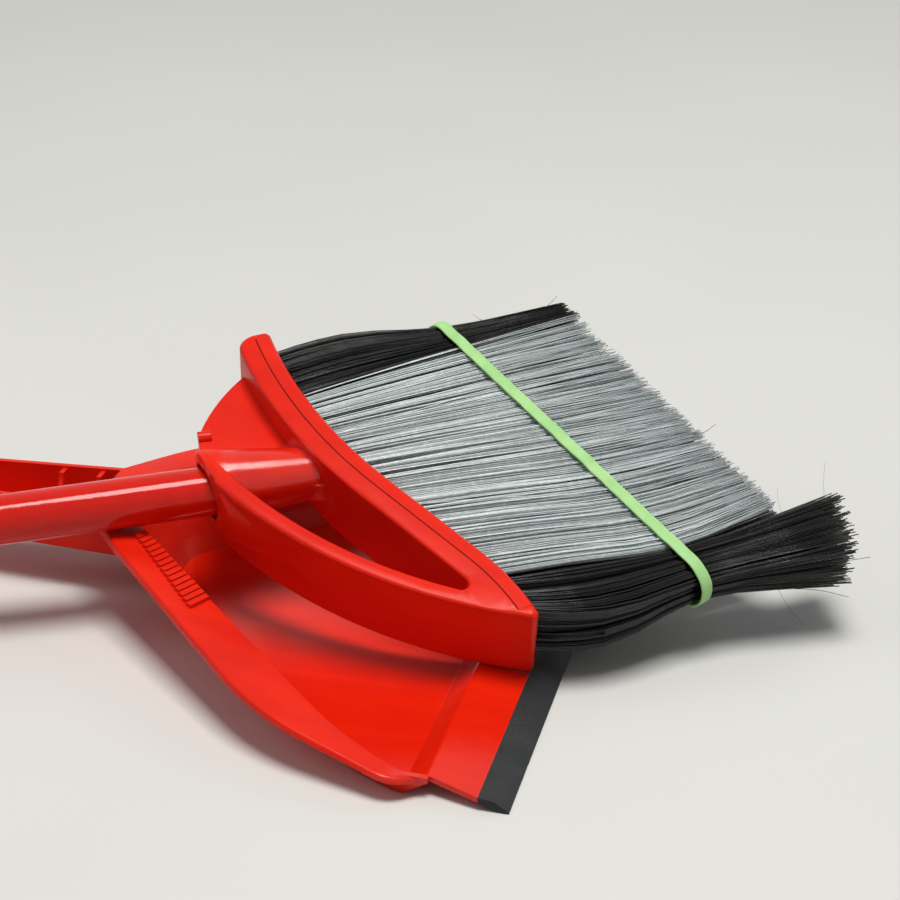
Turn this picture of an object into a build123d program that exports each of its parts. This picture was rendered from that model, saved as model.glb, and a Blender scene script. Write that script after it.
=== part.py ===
from build123d import *
import os
from math import acos, asin, atan2, cos, degrees, hypot, radians, sin, sqrt, tan

# A long-handled angle broom lying loose on its dust pan.
# Millimetres. +X runs from the pan's handle to its lip, +Z is up, the pan stands on Z = 0.
os.makedirs("parts", exist_ok=True)

# Dust pan: tub, rim and handle
pan_depth = 240.0
wall = 2.4
floor_thickness = 2.4
wall_draft = 16.5
rim_rear_height = 47.0
rim_flat_run = 27.0
rim_crease_round = 120.0
rim_thickness = 2.6
skirt_rear_height = 5.2
skirt_front_height = 3.0
shoulder_root_half = 23.5
shoulder_half = 55.5
shoulder_angle = 42.8
shoulder_run = 101.8
shoulder_bend_radius = 120.0
shoulder_bend_turn = 26.8
shoulder_round = 40.0
nose_setback = 4.0
nose_round = 14.0
rim_edge_bevel = 1.4
well_back_half = 20.5
well_back_inset = 36.0
well_side_angle = 42.6
well_side_run = 150.0
well_bend_radius = 157.7
well_bend_turn = 18.2
well_front_half = 150.8
well_corner_radius = 16.0
handle_length = 125.0
handle_root_width = 44.6
handle_tip_width = 27.0
handle_depth = 24.5
handle_reach = 28.0
handle_wall = 2.6
handle_tip_radius = 11.0
saddle_start = 9.0
saddle_pitch = 20.0
saddle_count = 2
saddle_thickness = 2.4
saddle_clearance = 0.5
grip_ridge_count = 5
grip_ridge_pitch = 7.5
grip_ridge_radius = 1.2
grip_ridge_start = 22.0
grip_ridge_margin = 4.0
hang_hole_radius = 6.0
hang_boss_radius = 10.0
hang_boss_height = 7.0
hang_hole_inset = 19.0

# Combing ridges on the pan's shoulders
comb_count = 15
comb_pitch = 4.12
comb_start = -1.8
comb_inset = 12.3
comb_closing = 0.22
comb_lean = 67.3
comb_length = 14.0
comb_ridge_width = 3.0
comb_height = 2.0

# Front ramp and rubber lip
ramp_rise_run = 11.0
ramp_top_height = 9.2
ramp_front_height = 6.0
ramp_thickness = 2.6
ramp_run = 22.5
ramp_back_span = 303.0
lip_span = 315.0
lip_depth = 13.5
lip_flat = 7.0
lip_flat_fall = 1.0
lip_edge = 0.5
lip_heel = 3.0
tongue_length = 4.0
tongue_thickness = 0.9
tongue_sink = 1.55
tongue_end_margin = 6.0
lip_fit = 0.05

# Broom pole
pole_diameter = 24.0
pole_wall = 0.6
pole_length = 1150.0
pole_insertion = 24.0
pole_yaw = 26.8
pole_rest_x = -104.1
cap_radius = 13.0
cap_sleeve = 32.0
cap_nose = 26.0
cap_nose_chamfer = 2.0
cap_flat = 9.0
cap_flat_run = 26.0
cap_hole_radius = 4.5
cap_hole_back = 15.0
thread_radius = 8.5
thread_length = 27.0
thread_flange = 1.7
thread_plug_length = 30.0
pole_rest_gap = 0.5
corner_rest_gap = 0.4

# Broom head
head_thickness = 40.0
collar_radius = 18.2
collar_bore_radius = 14.0
collar_depth = 26.0
socket_end_radius = 12.0
socket_bore_radius = 8.8
socket_bore_end = 57.0
socket_floor = 3.0
collar_land = 4.0
collar_slant = 14.0
collar_pivot_v = 8.0
collar_shift_v = 1.2
collar_shift_n = 1.6
mouth_to_rest = 47.6
block_width = 17.5
block_far_u = 47.0
block_far_v = 85.0
block_heading = -84.0
block_hollow_radius = 259.0
block_hollow_turn = 25.8
block_straight = 62.0
block_tail_radius = 143.0
block_tail_turn = 20.0
block_corner_radius = 10.0
corner_round = 3.0
arm_width = 9.0
arm_start_u = -3.0
arm_start_v = 3.0
arm_mid_u = 53.0
arm_mid_v = -73.5
web_thickness = 10.0
web_back_u = 3.0
web_back_v = 31.0
web_bulge_u = 15.5
web_bulge_v = 52.5
web_far_u = 34.5
web_far_v = 72.0
web_reach = 100.0
bead_radius = 3.2
bead_length = 6.5
fairing_radius = 17.6
fairing_width = 12.0
head_edge_bevel = 1.7
meeting_tolerance = 1e-9

# Tuft block and bristles
tuft_block_width = 8.0
tuft_block_fit = 0.15
slot_overcut = 1.0
tuft_block_far_margin = 4.0
tuft_block_near_margin = 9.0
root_depth = 5.0
root_sink = 0.3
root_bite = 3.0
root_half_thickness = 17.0
root_margin = 1.5
strand_radius = 1.05
strand_tip_radius = 0.8
strand_rows = (-13.6, -6.8, 0.0, 6.8, 13.6)
far_columns = 6
grey_columns = 46
near_columns = 8
far_zone = 38.0
near_zone = 21.0
slice_gap = 0.1
band_far_u = 132.0
band_far_v = 88.0
band_near_u = 218.0
band_near_v = -108.0
band_half_thickness = 12.5
band_width = 6.0
band_thickness = 1.2
band_clearance = 0.4
band_end_clearance = 2.0
bulge_share = 0.28
bulge_swell = 1.12
far_side_bulges = (5.0, 0.0)
near_side_bulges = (0.0, -13.0)
far_shares = (0.026, 0.082)
grey_shares = (0.099, 0.842)
near_shares = (0.860, 0.972)
far_tips = ((203.0, 99.0), (206.0, 87.0))
grey_tips = ((207.0, 83.0), (266.0, -73.0))
near_tips = ((286.0, -79.0), (296.0, -116.0))
far_spread = 0.9
grey_spread = 0.85
near_spread = 1.2
tip_stagger = 3.2
stagger_pattern = (0.0, 1.0, -0.5, 0.5, -1.0)

# Places worked out from the sizes above
lip_x = pan_depth / 2
root_x = -pan_depth / 2
ramp_front_x = lip_x - lip_depth
ramp_top_x = ramp_front_x - ramp_run
step_x = ramp_top_x - ramp_rise_run
crease_x = root_x + rim_flat_run
root_half = handle_root_width / 2
tip_x = root_x - handle_length
handle_bottom = rim_rear_height - handle_depth
lip_half = lip_span / 2
ramp_back_half = ramp_back_span / 2
mouth_half = ramp_back_half - wall
rim_fall = atan2(rim_rear_height - ramp_top_height, ramp_top_x - crease_x)
build_height = rim_rear_height + handle_depth
tongue_middle = ramp_front_height - tongue_sink
tongue_half = lip_half - tongue_end_margin


def shoulder_point(run, inset=0.0):
    """Plan point on the far shoulder: a run along its outer edge and an inset from it."""
    turn = radians(shoulder_angle)
    return (
        crease_x + run * cos(turn) + inset * sin(turn),
        shoulder_half + run * sin(turn) - inset * cos(turn),
    )


def rim_outline():
    """Plan outline of the rim's outer edge, from the handle root to the two noses."""
    with BuildSketch() as outline:
        with BuildLine():
            Polyline((root_x, 0), (root_x, shoulder_root_half), shoulder_point(0))
            shoulder = Line(shoulder_point(0), shoulder_point(shoulder_run))
            bend = JernArc(shoulder @ 1, shoulder % 1, shoulder_bend_radius, -shoulder_bend_turn)
            splay = tan(radians(shoulder_angle - shoulder_bend_turn))
            nose_x = step_x - nose_setback
            nose_y = (bend @ 1).Y + (nose_x - (bend @ 1).X) * splay
            Polyline(bend @ 1, (nose_x, nose_y), (ramp_top_x, ramp_back_half), (ramp_top_x, 0))
            mirror(about=Plane.XZ)
        make_face()
        fillet(outline.vertices().sort_by(lambda corner: abs(corner.Y))[-2:], nose_round)
        fillet(outline.vertices().sort_by(lambda corner: abs(corner.X - crease_x))[:2], shoulder_round)
    return outline.sketch


def under_rim(rear_drop, front_drop):
    """Space under the rim's top, which is flat at the rear and then falls, lowered by two drops."""
    with BuildPart() as space:
        with BuildSketch(Plane.XZ) as profile:
            crease = (crease_x, rim_rear_height - rear_drop)
            with BuildLine():
                Polyline(
                    (root_x, 0),
                    (root_x, rim_rear_height - rear_drop),
                    crease,
                    (ramp_top_x, ramp_top_height - front_drop),
                    (ramp_top_x, 0),
                    close=True,
                )
            make_face()
            fillet(profile.vertices().sort_by_distance(crease)[0], rim_crease_round)
        extrude(amount=pan_depth, both=True)
    return space.part


def well_outline(front_x):
    """Plan outline of the well at its floor, open at the mouth as far forward as front_x."""
    back_x = root_x + well_back_inset
    with BuildSketch() as outline:
        with BuildLine():
            back = Line((back_x, 0), (back_x, well_back_half))
            side = PolarLine(back @ 1, well_side_run, well_side_angle)
            bend = JernArc(side @ 1, side % 1, well_bend_radius, -well_bend_turn)
            Polyline(
                bend @ 1,
                (step_x, well_front_half),
                (ramp_top_x - wall, mouth_half),
                (front_x, mouth_half),
                (front_x, 0),
            )
            mirror(about=Plane.XZ)
        make_face()
        fillet(outline.vertices().group_by(Axis.X)[0], well_corner_radius)
    return outline.sketch


def handle_half(x):
    """Half width of the handle at a place along it."""
    return root_half - (root_x - x) / handle_length * (handle_root_width - handle_tip_width) / 2


def handle_outline(front_x):
    """Plan outline of the handle, rounded at its tip."""
    with BuildSketch() as outline:
        with BuildLine():
            Polyline((front_x, 0), (front_x, handle_half(front_x)), (tip_x, handle_half(tip_x)), (tip_x, 0))
            mirror(about=Plane.XZ)
        make_face()
        fillet(outline.vertices().group_by(Axis.X)[0], handle_tip_radius)
    return outline.sketch


# Air inside the well, and the air under the rim inside its skirt
with BuildPart() as well_space:
    with BuildSketch(Plane.XY.offset(floor_thickness)):
        add(well_outline(lip_x + lip_depth))
    extrude(amount=build_height, taper=-wall_draft)

with BuildPart() as skirt_space:
    with BuildSketch():
        offset(rim_outline(), amount=-wall)
    extrude(amount=build_height)
    add(under_rim(rim_thickness, rim_thickness), mode=Mode.INTERSECT)

# Drafted tub walls up to the rim
with BuildPart() as tub:
    with BuildSketch():
        offset(well_outline(ramp_top_x), amount=wall)
    extrude(amount=build_height, taper=-wall_draft)
    add(under_rim(0, 0), mode=Mode.INTERSECT)
    with BuildSketch(Plane.XZ):
        with BuildLine():
            Polyline(
                (step_x, 0),
                (ramp_top_x, ramp_top_height - ramp_thickness),
                (lip_x, ramp_top_height - ramp_thickness),
                (lip_x, 0),
                close=True,
            )
        make_face()
    extrude(amount=pan_depth, both=True, mode=Mode.SUBTRACT)

# Front ramp: up from the well's floor, then gently down to the lip
with BuildPart() as ramp:
    with BuildSketch(Plane.XZ):
        with BuildLine():
            Polyline(
                (step_x - wall, 0),
                (step_x, 0),
                (ramp_top_x, ramp_top_height - ramp_thickness),
                (ramp_front_x, ramp_front_height - ramp_thickness),
                (ramp_front_x, ramp_front_height),
                (ramp_top_x, ramp_top_height),
                (step_x, floor_thickness),
                (step_x - wall, floor_thickness),
                close=True,
            )
        make_face()
    extrude(amount=lip_half, both=True)
    with BuildSketch():
        with BuildLine():
            Polyline(
                (step_x - wall, 0),
                (step_x - wall, well_front_half),
                (step_x, well_front_half + wall / 2),
                (ramp_top_x, ramp_back_half),
                (ramp_front_x, lip_half),
                (ramp_front_x, 0),
            )
            mirror(about=Plane.XZ)
        make_face()
    extrude(amount=build_height, mode=Mode.INTERSECT)
    with Locations((ramp_front_x, 0, tongue_middle)):
        Box(2 * tongue_length, 2 * tongue_half, tongue_thickness)

# Handle: an open channel with saddles for the pole and a hang hole near its tip
with BuildPart() as handle:
    with BuildSketch(Plane.XY.offset(handle_bottom)):
        add(handle_outline(root_x + handle_reach))
    extrude(amount=handle_depth)
    with BuildSketch(Plane.XY.offset(handle_bottom + handle_wall)):
        offset(handle_outline(root_x + handle_reach), amount=-handle_wall)
    extrude(amount=handle_depth, mode=Mode.SUBTRACT)
    for index in range(saddle_count):
        saddle_x = root_x - saddle_start - index * saddle_pitch
        with BuildSketch(Plane.YZ.offset(saddle_x)):
            with Locations((0, handle_bottom + handle_depth / 2)):
                Rectangle(2 * handle_half(saddle_x) - handle_wall, handle_depth - handle_wall)
            with Locations((0, rim_rear_height)):
                Circle(pole_diameter / 2 + saddle_clearance, mode=Mode.SUBTRACT)
        extrude(amount=saddle_thickness / 2, both=True)
    with Locations((tip_x + hang_hole_inset, 0, handle_bottom)):
        Cylinder(hang_boss_radius, hang_boss_height, align=(Align.CENTER, Align.CENTER, Align.MIN))
        Cylinder(hang_hole_radius, build_height, mode=Mode.SUBTRACT)
    for index in range(grip_ridge_count):
        ridge_x = root_x - grip_ridge_start - index * grip_ridge_pitch
        for side in (-1, 1):
            with Locations((ridge_x, side * handle_half(ridge_x), handle_bottom + handle_depth / 2)):
                Cylinder(grip_ridge_radius, handle_depth - 2 * grip_ridge_margin)

# Comb: ridges across both shoulders, from the rim's middle to the well's edge
comb_plane = Plane(
    origin=(crease_x, 0, rim_rear_height),
    x_dir=(cos(rim_fall), 0, -sin(rim_fall)),
    z_dir=(sin(rim_fall), 0, cos(rim_fall)),
)
with BuildPart() as comb:
    with BuildSketch(comb_plane.offset(-rim_thickness / 2)):
        for index in range(comb_count):
            ridge_x, ridge_y = shoulder_point(
                comb_start + index * comb_pitch, comb_inset - index * comb_closing
            )
            for side in (-1, 1):
                with Locations(((ridge_x - crease_x) / cos(rim_fall), side * ridge_y)):
                    Rectangle(
                        comb_length,
                        comb_ridge_width,
                        rotation=-side * comb_lean,
                        align=(Align.MIN, Align.CENTER),
                    )
    extrude(amount=rim_thickness / 2 + comb_height)

# Dust pan: one red moulding
with BuildPart() as dust_pan:
    with BuildSketch():
        add(rim_outline())
    extrude(amount=build_height)
    add(under_rim(0, 0), mode=Mode.INTERSECT)
    rim_top = dust_pan.faces().filter_by(lambda face: face.normal_at().Z > 0.9)
    chamfer(rim_top.edges().filter_by(lambda edge: abs(edge.center().Y) > wall), rim_edge_bevel)
    add(under_rim(skirt_rear_height, skirt_front_height), mode=Mode.SUBTRACT)
    add(skirt_space.part, mode=Mode.SUBTRACT)
    with Locations((ramp_top_x, 0, build_height / 2)):
        Box(2 * ramp_rise_run, 2 * mouth_half, build_height, mode=Mode.SUBTRACT)
    add(tub.part)
    add(handle.part)
    add(comb.part)
    add(well_space.part, mode=Mode.SUBTRACT)
    add(ramp.part)
dust_pan.part.label = "dust_pan"
export_step(dust_pan.part, "parts/dust_pan.step")

# Rubber lip, slotted over the ramp's tongue
with BuildPart() as pan_lip:
    with BuildSketch(Plane.XZ):
        with BuildLine():
            Polyline(
                (ramp_front_x, ramp_front_height - ramp_thickness),
                (lip_x - lip_heel, 0),
                (lip_x, 0),
                (lip_x, lip_edge),
                (ramp_front_x + lip_flat, ramp_front_height - lip_flat_fall),
                (ramp_front_x, ramp_front_height),
                close=True,
            )
        make_face()
    extrude(amount=lip_half, both=True)
    with Locations((ramp_front_x, 0, tongue_middle)):
        Box(
            2 * (tongue_length + lip_fit),
            2 * (tongue_half + lip_fit),
            tongue_thickness + 2 * lip_fit,
            mode=Mode.SUBTRACT,
        )
pan_lip.part.label = "pan_lip"
export_step(pan_lip.part, "parts/pan_lip.step")

# How the broom lies: the pole on the near shoulder's edge and its cap on the floor,
# the head rolled about the pole until its near corner comes down on the ramp
pole_radius = pole_diameter / 2
rest_share = (pole_rest_x - root_x) / rim_flat_run
rest_half = shoulder_root_half + (shoulder_half - shoulder_root_half) * rest_share
rest_point = Vector(pole_rest_x, -rest_half, rim_rear_height + pole_radius + pole_rest_gap)
rest_to_cap = pole_length - pole_insertion - mouth_to_rest
pole_rise = asin(rest_point.Z / hypot(rest_to_cap, cap_radius)) - atan2(cap_radius, rest_to_cap)
yaw = radians(pole_yaw)
pole_direction = Vector(cos(pole_rise) * cos(yaw), cos(pole_rise) * sin(yaw), sin(pole_rise))
head_origin = rest_point + pole_direction * mouth_to_rest

hollow_run = block_hollow_radius * radians(block_hollow_turn)
straight_end = hollow_run + block_straight
edge_length = straight_end + block_tail_radius * radians(block_tail_turn)


def edge_frame(run):
    """Point at a run along the block's bristle edge, in the head's plane, and the edge's heading there."""
    start = radians(block_heading)
    turned = start + min(run, hollow_run) / block_hollow_radius
    u = block_far_u + block_hollow_radius * (sin(turned) - sin(start))
    v = block_far_v - block_hollow_radius * (cos(turned) - cos(start))
    ahead = min(max(run - hollow_run, 0.0), block_straight)
    heading = turned - max(run - straight_end, 0.0) / block_tail_radius
    u += ahead * cos(turned) + block_tail_radius * (sin(turned) - sin(heading))
    v += ahead * sin(turned) - block_tail_radius * (cos(turned) - cos(heading))
    return u, v, heading


def edge_at(run, inset=0.0):
    """Point at a run along the bristle edge and an inset from it into the block."""
    u, v, heading = edge_frame(run)
    return u + inset * sin(heading), v - inset * cos(heading)


corner_u, corner_v = edge_at(edge_length)
half_thickness = head_thickness / 2
drop = (rest_point.Z - ramp_front_height - corner_rest_gap) / cos(pole_rise)
drop += (mouth_to_rest + corner_u) * tan(pole_rise)
head_roll = asin(drop / hypot(corner_v, half_thickness)) - atan2(half_thickness, -corner_v)
across = Vector(-sin(yaw), cos(yaw), 0)
lateral = across * cos(head_roll) + pole_direction.cross(across) * sin(head_roll)
head_plane = Plane(origin=head_origin, x_dir=pole_direction, z_dir=pole_direction.cross(lateral))
pole_axis = Axis(head_origin, pole_direction)


def head_point(u, v, n=0.0):
    """A point given along the pole, across the head and above its middle plane."""
    return head_plane.from_local_coords((u, v, n))


def edge_path(inset, run_from, run_to):
    """Draw the part of the bristle edge between two runs, moved by an inset into the block."""
    if run_from < hollow_run:
        reach = min(run_to, hollow_run)
        heading = edge_frame(run_from)[2]
        turn = degrees((reach - run_from) / block_hollow_radius)
        JernArc(edge_at(run_from, inset), (cos(heading), sin(heading)), block_hollow_radius + inset, turn)
    if run_to > hollow_run and run_from < straight_end:
        Line(edge_at(max(run_from, hollow_run), inset), edge_at(min(run_to, straight_end), inset))
    if run_to > straight_end:
        begin = max(run_from, straight_end)
        heading = edge_frame(begin)[2]
        turn = degrees((run_to - begin) / block_tail_radius)
        JernArc(edge_at(begin, inset), (cos(heading), sin(heading)), block_tail_radius - inset, -turn)


def edge_strip(inset_from, inset_to, run_from, run_to):
    """Sketch of the strip between two insets and two runs of the bristle edge."""
    with BuildSketch() as strip:
        with BuildLine():
            edge_path(inset_from, run_from, run_to)
            edge_path(inset_to, run_from, run_to)
            for run in (run_from, run_to):
                Line(edge_at(run, inset_from), edge_at(run, inset_to))
        make_face()
    return strip.sketch


def circle_centre(first, second, third):
    """Centre of the circle through three points of the head's plane."""
    (u1, v1), (u2, v2), (u3, v3) = first, second, third
    twice = 2 * (u1 * (v2 - v3) + u2 * (v3 - v1) + u3 * (v1 - v2))
    s1, s2, s3 = u1**2 + v1**2, u2**2 + v2**2, u3**2 + v3**2
    return (
        (s1 * (v2 - v3) + s2 * (v3 - v1) + s3 * (v1 - v2)) / twice,
        (s1 * (u3 - u2) + s2 * (u1 - u3) + s3 * (u2 - u1)) / twice,
    )


# The arm's two concentric edges, and the run at which its inner one meets the block
arm_points = ((arm_start_u, arm_start_v), (arm_mid_u, arm_mid_v), (corner_u, corner_v))
arm_u, arm_v = circle_centre(*arm_points)
arm_radius = hypot(arm_start_u - arm_u, arm_start_v - arm_v)
arm_inner = arm_radius - arm_width


def arm_meeting_run():
    """Run along the bristle edge at which the arm's inner edge meets the block's inner edge."""
    low, high = hollow_run, edge_length
    while high - low > meeting_tolerance:
        middle = (low + high) / 2
        u, v = edge_at(middle, block_width)
        if hypot(u - arm_u, v - arm_v) < arm_inner:
            low = middle
        else:
            high = middle
    return low


meet_run = arm_meeting_run()
window_corner = edge_at(meet_run, block_width)
inner_points = [
    (arm_u + (u - arm_u) * arm_inner / arm_radius, arm_v + (v - arm_v) * arm_inner / arm_radius)
    for u, v in arm_points[:2]
]

# Block bar and arm as one bar bent into a V, its edges bevelled
with BuildPart() as head_blank:
    with BuildSketch(head_plane) as head_outline:
        with BuildLine():
            edge_path(0, 0, edge_length)
            ThreePointArc((corner_u, corner_v), arm_points[1], arm_points[0])
            Line(arm_points[0], inner_points[0])
            ThreePointArc(inner_points[0], inner_points[1], window_corner)
            edge_path(block_width, 0, meet_run)
            Line(edge_at(0), edge_at(0, block_width))
        make_face()
        for place in (edge_at(0), edge_at(edge_length), window_corner):
            fillet(head_outline.vertices().sort_by_distance(place)[0], corner_round)
        fillet(head_outline.vertices().sort_by_distance(edge_at(0, block_width))[0], block_corner_radius)
    extrude(amount=half_thickness, both=True)
    flats = head_blank.faces().filter_by(lambda face: abs(face.normal_at().dot(head_plane.z_dir)) > 0.99)
    arm_end = head_point(*((start + end) / 2 for start, end in zip(arm_points[0], inner_points[0])))
    chamfer(flats.edges().sort_by_distance(arm_end)[2:], head_edge_bevel)

# The bristle side of the bar, where the tuft block sits flush
block_from = tuft_block_far_margin
block_to = edge_length - tuft_block_near_margin


def bar_slot(depth, run_from, run_to, half_height):
    """Space along the bristle edge, open at that edge, as deep as given and as high on both sides."""
    with BuildPart() as slot:
        with BuildSketch(head_plane):
            add(edge_strip(-slot_overcut, depth, run_from, run_to))
        extrude(amount=half_height, both=True)
    return slot.part


block_slot = bar_slot(
    tuft_block_width + tuft_block_fit, block_from - tuft_block_fit, block_to + tuft_block_fit, head_thickness
)
block_space = bar_slot(tuft_block_width, block_from, block_to, head_thickness)

# Fairing that leads the collar's near side into the arm's outer wall, along their common tangent
fairing_side = collar_shift_v - fairing_radius
fairing_turn = atan2(fairing_side - arm_v, -arm_u) + acos(arm_radius / hypot(arm_u, arm_v - fairing_side))
fairing_u = arm_u + arm_radius * cos(fairing_turn)
fairing_v = arm_v + arm_radius * sin(fairing_turn)
fairing_path = head_point(fairing_u, fairing_v) - head_point(0, fairing_side)
collar_centre = head_point(0, collar_shift_v, collar_shift_n)
with BuildPart() as collar_fairing:
    with BuildSketch(Plane(collar_centre, x_dir=lateral, z_dir=pole_direction)):
        Circle(fairing_radius)
        with Locations((-fairing_radius, 0)):
            Rectangle(2 * fairing_width, 2 * fairing_radius, mode=Mode.INTERSECT)
    extrude(amount=fairing_path.length, dir=fairing_path.normalized())

# Broom head: the bent bar, web and socket in one moulding
with BuildPart() as broom_head:
    add(head_blank.part)
    with BuildSketch(head_plane):
        with BuildLine():
            Line((web_back_u, 0), (web_back_u, web_back_v))
            ThreePointArc((web_back_u, web_back_v), (web_bulge_u, web_bulge_v), (web_far_u, web_far_v))
            Polyline(
                (web_far_u, web_far_v),
                edge_at(far_zone, block_width / 2),
                edge_at(web_reach, block_width / 2),
                (web_back_u, 0),
            )
        make_face()
    extrude(amount=web_thickness / 2, both=True)
    with Locations(Plane(head_point(web_back_u, web_back_v, web_thickness / 2), z_dir=pole_direction)):
        Cylinder(bead_radius, bead_length, align=(Align.CENTER, Align.CENTER, Align.MIN))
    with BuildSketch(Plane(collar_centre, x_dir=pole_direction, z_dir=lateral)):
        with BuildLine():
            Polyline(
                (0, 0),
                (0, collar_radius),
                (collar_land, collar_radius),
                (socket_bore_end, socket_end_radius),
                (socket_bore_end + socket_floor, socket_end_radius),
                (socket_bore_end + socket_floor, 0),
                close=True,
            )
        make_face()
    revolve(axis=Axis(collar_centre, pole_direction))
    add(collar_fairing.part)
    slant = radians(collar_slant)
    collar_face = pole_direction * cos(slant) + lateral * sin(slant)
    split(bisect_by=Plane(head_point(0, collar_pivot_v), z_dir=collar_face), keep=Keep.TOP)
    split(bisect_by=Plane(head_origin, z_dir=pole_direction), keep=Keep.TOP)
    with BuildSketch(Plane(head_origin, x_dir=pole_direction, z_dir=lateral)):
        with BuildLine():
            Polyline(
                (0, 0),
                (0, collar_bore_radius),
                (collar_depth, collar_bore_radius),
                (collar_depth, socket_bore_radius),
                (socket_bore_end, socket_bore_radius),
                (socket_bore_end, 0),
                close=True,
            )
        make_face()
    revolve(axis=pole_axis, mode=Mode.SUBTRACT)
    add(block_slot, mode=Mode.SUBTRACT)
broom_head.part.label = "broom_head"
export_step(broom_head.part, "parts/broom_head.step")

# Tuft block, with a pocket for the bristles' roots along its face
root_from = block_from + root_margin
root_to = block_to - root_margin
with BuildPart() as tuft_block:
    add(head_blank.part)
    add(block_space, mode=Mode.INTERSECT)
    add(bar_slot(root_depth, root_from, root_to, root_half_thickness), mode=Mode.SUBTRACT)
tuft_block.part.label = "tuft_block"
export_step(tuft_block.part, "parts/tuft_block.step")

# Bristles: rows of strands bundled by zone, bulging from the block and drawn in by the band
grey_from = root_from + far_zone
grey_to = root_to - near_zone
band_run = hypot(band_near_u - band_far_u, band_near_v - band_far_v)


def between(start, end, share):
    """Value at a share of the way between two values."""
    return start + (end - start) * share


def band_pinch(share):
    """How far the band draws the rows together, at a share of its run."""
    from_end = min(share, 1 - share) * band_run - strand_radius - band_end_clearance
    rise = max(0.0, band_half_thickness - from_end)
    room = sqrt(band_half_thickness**2 - rise**2) - strand_radius - band_clearance
    return room / max(strand_rows)


def strand(places):
    """One three-sided strand through its root, bulge, band and tip places in the head's own frame."""
    sections = []
    for u, v, n, radius in places:
        sections.append(Plane((u, v, n), x_dir=(0, 1, 0), z_dir=(1, 0, 0)) * RegularPolygon(radius, 3))
    return loft(sections, ruled=True)


def bundle(runs, shares, tips, columns, rows, spread, side_bulges=(0.0, 0.0)):
    """Strands of one zone: columns between two runs, shares of the band and tip points, in given rows."""
    strands = []
    for column in range(columns):
        t = column / (columns - 1)
        root_u, root_v = edge_at(between(*runs, t), root_depth - root_bite)
        share = between(*shares, t)
        band_u = between(band_far_u, band_near_u, share)
        band_v = between(band_far_v, band_near_v, share)
        tip_v = between(tips[0][1], tips[1][1], t)
        for index, row in enumerate(rows):
            cut = stagger_pattern[(column + 2 * index) % len(stagger_pattern)]
            tip_u = between(tips[0][0], tips[1][0], t) + tip_stagger * cut
            strands.append(
                strand(
                    (
                        (root_u, root_v, row, strand_radius),
                        (
                            between(root_u, band_u, bulge_share),
                            between(root_v, band_v, bulge_share) + between(*side_bulges, t),
                            row * bulge_swell,
                            strand_radius,
                        ),
                        (band_u, band_v, row * band_pinch(share), strand_radius),
                        (tip_u, tip_v, row * spread, strand_tip_radius),
                    )
                )
            )
    return strands


def root_slice(run_from, run_to, low, high):
    """Slice of the block's face, between two runs and two heights, that a bundle stands in."""
    with BuildPart() as root:
        with BuildSketch(Plane.XY.offset(low)):
            add(edge_strip(root_sink, root_depth, run_from + slice_gap, run_to - slice_gap))
        extrude(amount=high - low)
    return root.part


def tufted(strands, root):
    """A bundle fused to its root slice, in the head's own frame."""
    with BuildPart() as tuft:
        add([root] + strands)
    return tuft.part


strand_margin = 2 * strand_radius
far_runs = (root_from + strand_margin, grey_from - strand_margin)
grey_runs = (grey_from + strand_margin, grey_to - strand_margin)
near_runs = (grey_to + strand_margin, root_to - 2 * strand_margin)
root_high = root_half_thickness - slice_gap
core_high = (strand_rows[2] + strand_rows[3]) / 2

far_strands = bundle(far_runs, far_shares, far_tips, far_columns, strand_rows, far_spread, far_side_bulges)
far_tuft = tufted(far_strands, root_slice(root_from, grey_from, -root_high, root_high))
with BuildPart() as far_black_bristles:
    with Locations(head_plane):
        add(far_tuft)
far_black_bristles.part.label = "far_black_bristles"
export_step(far_black_bristles.part, "parts/far_black_bristles.step")

upper_strands = bundle(grey_runs, grey_shares, grey_tips, grey_columns, strand_rows[3:], grey_spread)
upper_tuft = tufted(upper_strands, root_slice(grey_from, grey_to, core_high + slice_gap, root_high))
with BuildPart() as upper_grey_bristles:
    with Locations(head_plane):
        add(upper_tuft)
upper_grey_bristles.part.label = "upper_grey_bristles"
export_step(upper_grey_bristles.part, "parts/upper_grey_bristles.step")

core_strands = bundle(grey_runs, grey_shares, grey_tips, grey_columns, strand_rows[2:3], grey_spread)
core_tuft = tufted(core_strands, root_slice(grey_from, grey_to, -core_high, core_high))
with BuildPart() as core_black_bristles:
    with Locations(head_plane):
        add(core_tuft)
core_black_bristles.part.label = "core_black_bristles"
export_step(core_black_bristles.part, "parts/core_black_bristles.step")

lower_strands = bundle(grey_runs, grey_shares, grey_tips, grey_columns, strand_rows[:2], grey_spread)
lower_tuft = tufted(lower_strands, root_slice(grey_from, grey_to, -root_high, -core_high - slice_gap))
with BuildPart() as lower_grey_bristles:
    with Locations(head_plane):
        add(lower_tuft)
lower_grey_bristles.part.label = "lower_grey_bristles"
export_step(lower_grey_bristles.part, "parts/lower_grey_bristles.step")

near_strands = bundle(
    near_runs, near_shares, near_tips, near_columns, strand_rows, near_spread, near_side_bulges
)
near_tuft = tufted(near_strands, root_slice(grey_to, root_to, -root_high, root_high))
with BuildPart() as near_black_bristles:
    with Locations(head_plane):
        add(near_tuft)
near_black_bristles.part.label = "near_black_bristles"
export_step(near_black_bristles.part, "parts/near_black_bristles.step")


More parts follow.
